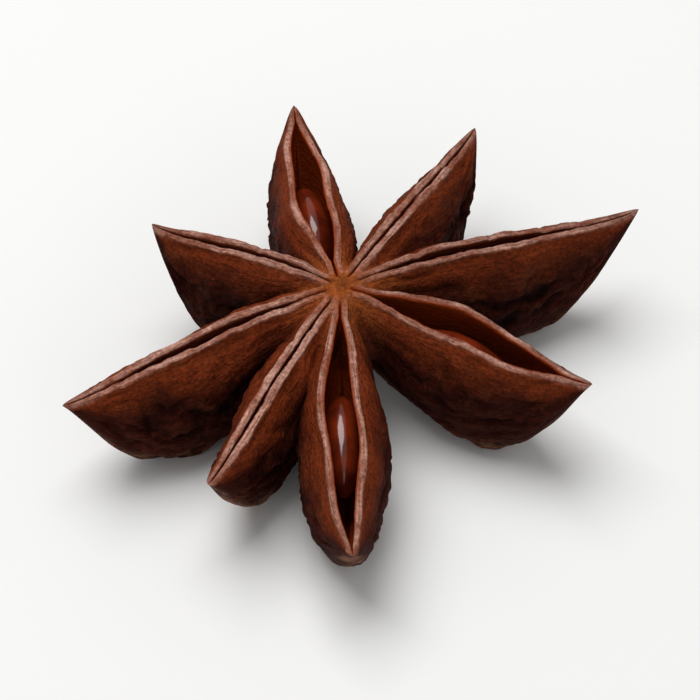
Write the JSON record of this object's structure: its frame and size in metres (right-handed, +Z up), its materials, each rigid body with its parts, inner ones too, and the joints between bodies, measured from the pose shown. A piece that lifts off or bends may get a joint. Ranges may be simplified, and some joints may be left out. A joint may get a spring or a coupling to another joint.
{
  "type": "star anise pod",
  "caption": "Dried star-shaped spice pod: boat-shaped woody carpels fused round a hub, split along their upper seams, with glossy seeds in the open ones.",
  "frame": {"origin": "middle of the star's outline, on the surface that the keels rest on", "axes": "+Z up out of the open face of the star; +Y away from the viewer of the picture"},
  "size_m": [0.0322, 0.032, 0.0088],
  "materials": {
    "husk": "dry, wrinkled, matt to satin",
    "seed": "smooth, glossy"
  },
  "bodies": {
    "root": {"pod": "husk", "seed_1": "seed", "seed_4": "seed", "seed_5": "seed"}
  },
  "joints": []
}
